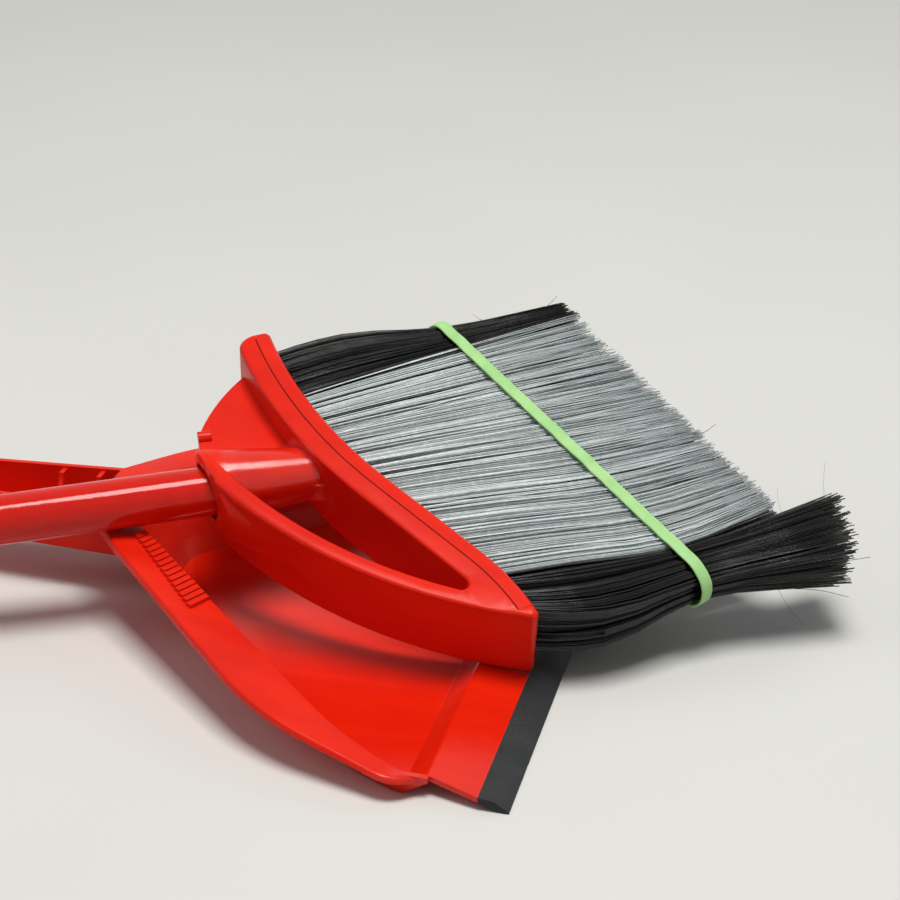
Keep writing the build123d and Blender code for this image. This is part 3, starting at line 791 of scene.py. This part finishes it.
@dataclass(frozen=True)
class Bundle:
    """One zone of bristles.

    Runs are along the block's edge, shares along the band, and tips are points of the head's plane.
    """

    zone: str
    slot: Slot
    runs: Span
    shares: Span
    tips: tuple[Point, Point]
    tufts: int
    rows: tuple[float, ...]
    clumps: int
    strands: int
    spread: float
    ragged: float
    radius: float
    side_bulges: Span = (0.0, 0.0)
    bow: float = 0.0
    fan: float = 0.0


@dataclass(frozen=True)
class Scatter:
    """How far strands lie from even places, in millimetres.

    Stagger, tuft and opened_clump are shares of the tufts' pitch, cuts of the bundle's ragged length, and
    wander, band_level and tip_share of its width or height.
    """

    stagger: float = 0.25
    tuft: float = 0.03
    root_along: float = 0.3
    root_up: float = 0.4
    root_margin: float = 0.4
    opened_clump: float = 0.56
    opened_strand: float = 0.36
    wanderers: float = 0.012
    wander: float = 0.03
    wander_tip: float = 2.5
    band_level: float = 0.025
    tip_share: float = 0.006
    tip_limits: Span = (-0.02, 1.02)
    tip: float = 0.5
    clump_cut: float = 0.8
    strand_cut: float = 0.6
    cut_limits: Span = (-2.6, 1.4)


@dataclass
class Bristles:
    """Tufts of fine strands in five bundles, squeezed by the band, with a few stray hairs."""

    head: HeadFrame
    edge: BristleEdge
    band: ElasticBand
    scatter: Scatter = Scatter()
    block_ends: Span = (5.5, 10.5)
    far_zone: float = 38.0
    near_zone: float = 27.5
    band_shares: tuple[float, float, float, float] = (0.016, 0.118, 0.882, 0.984)
    root_inset: float = 2.0
    tuft_along: float = 3.8
    tuft_up: float = 3.1
    outer_row: float = 15.6
    bulge_share: float = 0.42
    bulge_aim: float = 0.7
    swell: float = 0.94
    clearance: float = 0.5
    taper: float = 0.85
    tone: float = 0.68
    tone_spread: float = 0.3
    sides: int = 3
    samples: tuple[int, ...] = (3, 3, 3)
    seed: int = 24
    hair_radii: Span = (0.2, 0.14)
    hair_bend: float = 1.0
    hair_tone: float = 0.4
    hair_samples: tuple[int, ...] = (4, 4)
    hair_seed: int = 114

    def bundles(self) -> list[Bundle]:
        """The five bundles, from the far end to the near end.

        Returns:
            Their descriptions.
        """
        start, end = self.block_ends[0], self.edge.length - self.block_ends[1]
        grey_start, grey_end = start + self.far_zone, end - self.near_zone
        tips = ((204.5, 77.0), (262.5, -68.5))
        middle = dict(
            runs=(grey_start, grey_end), shares=self.band_shares[1:3], tips=tips, tufts=16, spread=0.73,
            ragged=2.0, bow=0.08, fan=0.06,
        )
        grey = dict(slot=Slot.GREY_FIBRE, clumps=23, strands=3, radius=0.31, **middle)
        core = dict(slot=Slot.BLACK_FIBRE, clumps=9, strands=4, radius=0.36, **middle)
        end_zone = dict(slot=Slot.BLACK_FIBRE, strands=3, rows=(-12.0, -4.0, 4.0, 12.0))
        return [
            Bundle(
                "far_black", runs=(start, grey_start), shares=self.band_shares[:2],
                tips=((198.0, 89.0), (204.0, 78.0)), tufts=4, clumps=24, spread=0.74, ragged=2.4, radius=0.34,
                side_bulges=(6.0, 0.0), **end_zone,
            ),
            Bundle("upper_grey", rows=(12.2,), **grey),
            Bundle("core_black", rows=(-5.8, 0.0, 5.8), **core),
            Bundle("lower_grey", rows=(-12.2,), **grey),
            Bundle(
                "near_black", runs=(grey_end, end), shares=self.band_shares[2:],
                tips=((292.0, -66.0), (287.0, -104.0)), tufts=3, clumps=30, spread=1.0, ragged=4.5, radius=0.35,
                side_bulges=(0.0, -9.0), **end_zone,
            ),
        ]

    def squeeze(self, share: Array) -> Array:
        """Half height left for strands inside the band, at shares of its run.

        Args:
            share: Places along the band, from 0 at its far end to 1.

        Returns:
            Half heights in millimetres.
        """
        run = math.dist(self.band.far, self.band.near)
        from_end = np.minimum(share, 1.0 - share) * run - self.clearance
        rise = np.clip(self.band.half - from_end, 0.0, self.band.half)
        return np.sqrt(self.band.half**2 - rise**2) - self.clearance

    def roots(self, bundle: Bundle, chance: np.random.Generator) -> tuple[Array, ...]:
        """Lay out a bundle's strands by tufts and clumps.

        Args:
            bundle: The bundle to lay out.
            chance: Seeded random numbers.

        Returns:
            For each strand its run along the edge, its level, its share of the bundle's width, and 1 if
            it wanders.
        """
        scatter, columns, rows = self.scatter, bundle.tufts, np.array(bundle.rows)
        clumped = (columns, len(rows), bundle.clumps, 1)
        shape = (*clumped[:3], bundle.strands)
        turn = chance.uniform(0.0, math.tau, clumped)
        away = np.sqrt(chance.uniform(0.0, 1.0, clumped))
        aside, lift = away * np.cos(turn), away * np.sin(turn)
        first, last = bundle.runs
        pitch = (last - first) / columns
        middle = (first + pitch * (np.arange(columns) + 0.5))[:, None, None, None]
        shift = scatter.stagger * pitch * (np.arange(len(rows)) % 2)[None, :, None, None]
        centre = middle + shift + chance.normal(0.0, scatter.tuft * pitch, (columns, len(rows), 1, 1))
        own, height = chance.normal(0.0, 1.0, shape), chance.normal(0.0, 1.0, shape)
        run = centre + self.tuft_along * aside + scatter.root_along * own
        run = np.clip(run, first + scatter.root_margin, last - scatter.root_margin)
        level = rows[None, :, None, None] + self.tuft_up * lift + scatter.root_up * height
        level = np.clip(level, -self.outer_row, self.outer_row)
        opened = centre + scatter.opened_clump * pitch * aside + scatter.opened_strand * own
        fill = (opened - first) / (last - first)
        stray = np.where(chance.uniform(0.0, 1.0, shape) < scatter.wanderers, 1.0, 0.0)
        fill = np.clip(fill + stray * chance.normal(0.0, scatter.wander, shape), 0.0, 1.0)
        fill = fill + bundle.bow * np.sin(np.pi * fill)
        return run.ravel(), level.ravel(), fill.ravel(), stray.ravel()

    def paths(self, bundle: Bundle, chance: np.random.Generator) -> tuple[Array, Array]:
        """Places that each strand of a bundle passes: root, bulge, band and tip.

        Args:
            bundle: The bundle to lay out.
            chance: Seeded random numbers.

        Returns:
            Places of shape (strands, 4, 3) and the directions at the roots.
        """
        run, level, fill, stray = self.roots(bundle, chance)
        scatter, count = self.scatter, len(run)
        root, _ = self.edge.at(run, self.root_inset)
        share = bundle.shares[0] + (bundle.shares[1] - bundle.shares[0]) * fill
        far, near = np.array(self.band.far), np.array(self.band.near)
        band = far + (near - far) * share[:, None]
        loose = level / self.outer_row + chance.normal(0.0, scatter.band_level, count)
        loose = np.clip(loose, -1.0, 1.0)
        bulge = root + (band - root) * self.bulge_share
        sag = bundle.side_bulges[0] + (bundle.side_bulges[1] - bundle.side_bulges[0]) * fill
        bulge[:, 1] += sag
        spot = fill + bundle.fan * np.sin(np.pi * fill) + chance.normal(0.0, scatter.tip_share, count)
        tips = np.array(bundle.tips)
        tip = tips[0] + (tips[1] - tips[0]) * np.clip(spot, *scatter.tip_limits)[:, None]
        cut = chance.normal(0.0, scatter.clump_cut * bundle.ragged, count // bundle.strands)
        cut = np.repeat(cut, bundle.strands)
        cut = cut + chance.normal(0.0, scatter.strand_cut * bundle.ragged, count)
        cut = np.clip(cut, *(limit * bundle.ragged for limit in scatter.cut_limits))
        reach = tip - band
        tip = tip + reach / np.linalg.norm(reach, axis=1, keepdims=True) * cut[:, None]
        tip_aside = chance.normal(0.0, scatter.tip, count)
        tip[:, 1] += tip_aside + stray * chance.normal(0.0, scatter.wander_tip, count)
        tip_up = loose * self.outer_row * bundle.spread + chance.normal(0.0, scatter.tip, count)
        heights = np.stack([level, level * self.swell, loose * self.squeeze(share), tip_up], axis=-1)
        plan = np.stack([root, bulge, band, tip], axis=1)
        aim = bulge - root + np.stack([np.zeros(count), self.bulge_aim * sag], axis=-1)
        aim = aim / np.linalg.norm(aim, axis=1, keepdims=True)
        leave = np.concatenate([aim, np.zeros((count, 1))], axis=1)
        return np.concatenate([plan, heights[..., None]], axis=2), leave

    def curves(self, places: Array, leave: Array, steps: tuple[int, ...]) -> Array:
        """Smooth lines through the strands' places.

        Args:
            places: Places of shape (strands, n, 3).
            leave: Directions at the roots.
            steps: Samples on each stretch between two places.

        Returns:
            Points of shape (strands, samples, 3).
        """
        chord = np.linalg.norm(np.diff(places, axis=1), axis=2)[..., None]
        slope = np.diff(places, axis=1) / chord
        inner = slope[:, :-1] * chord[:, 1:] + slope[:, 1:] * chord[:, :-1]
        inner = inner / (chord[:, 1:] + chord[:, :-1])
        tangent = np.concatenate([leave[:, None], inner, slope[:, -1:]], axis=1)
        points = []
        for stretch, count in enumerate(steps):
            last = stretch == len(steps) - 1
            t = np.linspace(0.0, 1.0, count + 1)[: None if last else -1][None, :, None]
            start, end = places[:, stretch, None], places[:, stretch + 1, None]
            leaving = tangent[:, stretch, None] * chord[:, stretch, None]
            arriving = tangent[:, stretch + 1, None] * chord[:, stretch, None]
            points.append(
                (2 * t**3 - 3 * t**2 + 1) * start
                + (t**3 - 2 * t**2 + t) * leaving
                + (3 * t**2 - 2 * t**3) * end
                + (t**3 - t**2) * arriving
            )
        return np.concatenate(points, axis=1)

    def tubes(self, name: str, lines: Array, radii: Span, tones: Array) -> Mesh:
        """Thin tapered tubes along lines, with a tone for each and the share of its length.

        Args:
            name: Name of the mesh.
            lines: Points of shape (strands, samples, 3) in the head's frame.
            radii: Radius at the root and at the tip.
            tones: One number for each strand.

        Returns:
            The new mesh.
        """
        strands, samples, _ = lines.shape
        angle = math.tau * np.arange(self.sides) / self.sides
        ring = np.stack([np.zeros(self.sides), np.cos(angle), np.sin(angle)], axis=-1)
        taper = np.linspace(*radii, samples)
        points = lines[:, :, None] + taper[None, :, None, None] * ring
        verts = self.head.places(points.reshape(-1, 3))
        base = np.arange(strands)[:, None, None] * samples * self.sides
        faces = (base + net(samples, self.sides, False, True)).reshape(-1, 4).tolist()
        caps = (base[:, 0] + (samples - 1) * self.sides + np.arange(self.sides)).tolist()
        mesh = bpy.data.meshes.new(name)
        mesh.from_pydata(verts.tolist(), [], faces + caps)
        mesh.shade_smooth()
        shares = np.tile(np.repeat(np.linspace(0.0, 1.0, samples), self.sides), strands)
        strand_tones = np.repeat(tones, samples * self.sides)
        for key, values in (("strand_tone", strand_tones), ("strand_reach", shares)):
            layer = mesh.attributes.new(key, "FLOAT", "POINT")
            layer.data.foreach_set("value", values.astype(np.float32))
        return mesh

    def build(self, finishes: dict[Slot, Material]) -> list[Piece]:
        """Build every bundle in the place of its plain solid.

        Args:
            finishes: Fibre finish of each slot.

        Returns:
            The new pieces.
        """
        pieces = []
        for index, bundle in enumerate(self.bundles()):
            chance = np.random.default_rng(self.seed + index)
            lines = self.curves(*self.paths(bundle, chance), self.samples)
            tones = np.clip(chance.normal(self.tone, self.tone_spread, len(lines)), 0.0, 1.0)
            radii = (bundle.radius, self.taper * bundle.radius)
            mesh = self.tubes(f"{bundle.zone}_tufts", lines, radii, tones)
            pieces.append(new_piece(mesh, finishes[bundle.slot], f"{bundle.zone}_bristles"))
        pieces.append(self.hairs(finishes[Slot.BLACK_FIBRE]))
        return pieces

    def hairs(self, finish: Material) -> Piece:
        """A few stray hairs that stand out of the bundles.

        Args:
            finish: Their finish.

        Returns:
            The new piece.
        """
        chance = np.random.default_rng(self.hair_seed)
        ends = np.array(STRAY_HAIRS)
        count = len(ends)
        bend = ends.mean(axis=1) + chance.normal(0.0, self.hair_bend, (count, 3))
        places = np.stack([ends[:, 0], bend, ends[:, 1]], axis=1)
        leave = (bend - ends[:, 0]) / np.linalg.norm(bend - ends[:, 0], axis=1, keepdims=True)
        lines = self.curves(places, leave, self.hair_samples)
        mesh = self.tubes("stray_hairs", lines, self.hair_radii, np.full(count, self.hair_tone))
        return new_piece(mesh, finish)


@dataclass
class DustPan:
    """The red pan moulding, polished in the well, and its rubber lip."""

    polished_height: float = 0.0125

    def dress(self, softener: EdgeSoftener) -> list[Piece]:
        """Give the pan and its lip their finishes.

        Args:
            softener: Modifiers for moulded edges.

        Returns:
            The dressed nodes.
        """
        height = self.polished_height
        red = MouldedPlastic("pan_red", polished_gloss=0.34, polished_height=height, edge_radius=0.0005)
        grey = SoftRubber("lip_grey", (0.017, 0.019, 0.021), (0.062, 0.062, 0.058), roughness=0.5)
        return [softener.dress("dust_pan", red.material()), softener.dress("pan_lip", grey.material())]


@dataclass
class BroomHead:
    """The red head moulding, polished on its socket, the tuft block let into it, and a painted shade along
    their seam.
    """

    head: HeadFrame
    edge: BristleEdge
    polished_reach: float = 0.0192
    half_thickness: float = 20.0
    seam_inset: float = 8.0
    seam_width: float = 0.8
    seam_proud: float = 0.03
    seam_ends: Span = (4.5, 9.5)
    seam_steps: int = 90
    # Colours of the painted shade along the seam groove
    seam_shade_red: Colour = (0.22, 0.004, 0.0015)
    seam_shade_deep: Colour = (0.15, 0.003, 0.001)

    def dress(self, softener: EdgeSoftener) -> list[Piece]:
        """Give the head and the tuft block their finish, and draw a painted shade along the seam.

        Args:
            softener: Modifiers for moulded edges.

        Returns:
            The dressed nodes and the painted seam shade.
        """
        along, reach = self.head.along, self.polished_reach
        axis = (self.head.origin, along)
        red = MouldedPlastic("head_red", flow=along, roughness=0.3, polished_axis=axis, polished_reach=reach)
        block = MouldedPlastic("block_red", flow=self.head.across, roughness=0.3, edge_radius=0.0004)
        return [
            softener.dress("broom_head", red.material()),
            softener.dress("tuft_block", block.material()),
            self.seam(),
        ]

    def seam(self) -> Piece:
        """Painted shade: a dark strip along the seam groove on the head's two faces.

        Returns:
            The new piece.
        """
        count = self.seam_steps
        run = np.linspace(self.seam_ends[0], self.edge.length - self.seam_ends[1], count)
        rows = []
        for face in (1.0, -1.0):
            level = np.full((count, 1), face * (self.half_thickness + self.seam_proud))
            for side in (-face, face):
                plan, _ = self.edge.at(run, self.seam_inset + side * self.seam_width / 2)
                rows.append(np.concatenate([plan, level], axis=1))
        strip = net(2, count, False, False)
        faces = np.concatenate([strip, strip + 2 * count])
        mesh = bpy.data.meshes.new("block_seam_shade")
        mesh.from_pydata(self.head.places(np.concatenate(rows)).tolist(), [], faces.tolist())
        # Dark red strip that stands for the shade in the seam's groove: painted shade
        red, deep = self.seam_shade_red, self.seam_shade_deep
        shadow = MouldedPlastic("seam_shade_red", red, deep, red, roughness=0.6, gloss=0.1)
        return new_piece(mesh, shadow.material())


@dataclass
class Pole:
    """The coated tube, its threaded tip and its end cap."""

    head: HeadFrame

    def dress(self, softener: EdgeSoftener) -> list[Piece]:
        """Give the tube, the tip and the cap their finishes.

        Args:
            softener: Modifiers for moulded edges.

        Returns:
            The dressed nodes.
        """
        paint = PolePaint("pole_red", self.head.along)
        black = SoftRubber("fitting_black", (0.012, 0.012, 0.012), (0.05, 0.05, 0.05), roughness=0.45)
        cap = MouldedPlastic("cap_red", flow=self.head.along, roughness=0.34)
        return [
            softener.dress("pole_tube", paint.material()),
            softener.dress("pole_thread_tip", black.material()),
            softener.dress("pole_end_cap", cap.material()),
        ]


@dataclass(frozen=True)
class SoftBox:
    """A large soft lamp aimed at the object."""

    name: str
    place: Place
    size: float
    power: float
    colour: Colour
    aim: Place = (0.0, 0.0, 0.05)

    def build(self) -> None:
        """Hang the lamp."""
        lamp = bpy.data.lights.new(self.name, "AREA")
        lamp.size = self.size
        lamp.energy = self.power
        lamp.color = self.colour
        hung = bpy.data.objects.new(self.name, lamp)
        hung.location = self.place
        hung.rotation_euler = (Vector(self.aim) - Vector(self.place)).to_track_quat("-Z", "Y").to_euler()
        bpy.context.scene.collection.objects.link(hung)


@dataclass
class Studio:
    """Pale floor, soft light all round, soft lamps and the camera at the photograph's angle."""

    paper: StudioPaper = StudioPaper()
    floor_half: float = 30.0
    floor_level: float = -0.0003
    camera_place: Place = (0.2813, -0.9020, 0.5314)
    camera_yaw: float = math.radians(14.07)
    camera_pitch: float = math.radians(25.51)
    lens: float = 88.0
    sensor: float = 36.0
    sky: Colour = (0.93, 0.96, 1.0)
    sky_strength: float = 0.2
    lamps: tuple[SoftBox, ...] = (
        SoftBox("key_lamp", (0.34, -0.30, 3.06), 1.2, 90.0, (1.0, 0.98, 0.95)),
        SoftBox("left_lamp", (-2.4, -0.8, 2.15), 1.6, 10.0, (1.0, 0.98, 0.96)),
        SoftBox("back_lamp", (1.2, 2.4, 2.2), 1.6, 9.0, (0.96, 0.98, 1.0)),
    )

    def build(self) -> None:
        """Build the floor, the light and the camera."""
        bpy.context.scene.view_settings.view_transform = "Standard"
        self.floor()
        self.light()
        self.camera()

    def floor(self) -> None:
        """Lay the floor just under the pan."""
        half, corners_round = self.floor_half, ((-1, -1), (1, -1), (1, 1), (-1, 1))
        mesh = bpy.data.meshes.new("studio_floor")
        mesh.from_pydata([(x * half, y * half, self.floor_level) for x, y in corners_round], [], [(0, 1, 2, 3)])
        mesh.materials.append(self.paper.material())
        floor = bpy.data.objects.new("studio_floor", mesh)
        bpy.context.scene.collection.objects.link(floor)

    def light(self) -> None:
        """Light the studio from all round and from the soft lamps."""
        world = bpy.data.worlds.new("studio")
        world.use_nodes = True
        tree = world.node_tree
        shown = tree.nodes.new("ShaderNodeMix")
        shown.data_type = "RGBA"
        shown.inputs[6].default_value = (*(self.sky_strength * part for part in self.sky), 1.0)
        shown.inputs[7].default_value = (*self.paper.background, 1.0)
        tree.links.new(seen_share(tree), shown.inputs[0])
        tree.links.new(shown.outputs[2], tree.nodes["Background"].inputs["Color"])
        bpy.context.scene.world = world
        for lamp in self.lamps:
            lamp.build()

    def camera(self) -> None:
        """Set the camera up."""
        lens = bpy.data.cameras.new("photo_camera")
        lens.lens = self.lens
        lens.sensor_width = self.sensor
        camera = bpy.data.objects.new("photo_camera", lens)
        camera.location = self.camera_place
        yaw, level = self.camera_yaw, math.cos(self.camera_pitch)
        ahead = Vector((-math.sin(yaw) * level, math.cos(yaw) * level, -math.sin(self.camera_pitch)))
        camera.rotation_euler = ahead.to_track_quat("-Z", "Y").to_euler()
        bpy.context.scene.collection.objects.link(camera)
        bpy.context.scene.camera = camera


def main() -> None:
    """Build and dress the sub-assemblies in order and report each piece."""
    logging.basicConfig(level=logging.INFO, format="%(name)s: %(message)s")
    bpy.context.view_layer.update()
    Studio().build()
    softener = EdgeSoftener()
    head, edge = HeadFrame(), BristleEdge()
    band = ElasticBand(head)
    # The third colour of each fibre is its tip colour: partly flagged tips, partly painted shade between the
    # strands
    grey = Fibre(
        "grey_fibre", (0.42, 0.465, 0.47), (0.93, 1.0, 1.0), (0.30, 0.33, 0.34), roughness=0.24, gloss=0.8
    )
    black = Fibre(
        "black_fibre", (0.003, 0.003, 0.0033), (0.011, 0.011, 0.012), (0.007, 0.007, 0.0075),
        roughness=0.13, gloss=0.6,
    )
    fibres = {Slot.GREY_FIBRE: grey.material(), Slot.BLACK_FIBRE: black.material()}
    pieces = DustPan().dress(softener) + BroomHead(head, edge).dress(softener) + Pole(head).dress(softener)
    pieces += Bristles(head, edge, band).build(fibres)
    pieces.append(band.build(StretchedRubber("band_green", band.direction).material()))
    for piece in pieces:
        LOG.info("%s: %d faces, %s", piece.name, len(piece.data.polygons), piece.data.materials[0].name)


if __name__ == "__main__":
    main()
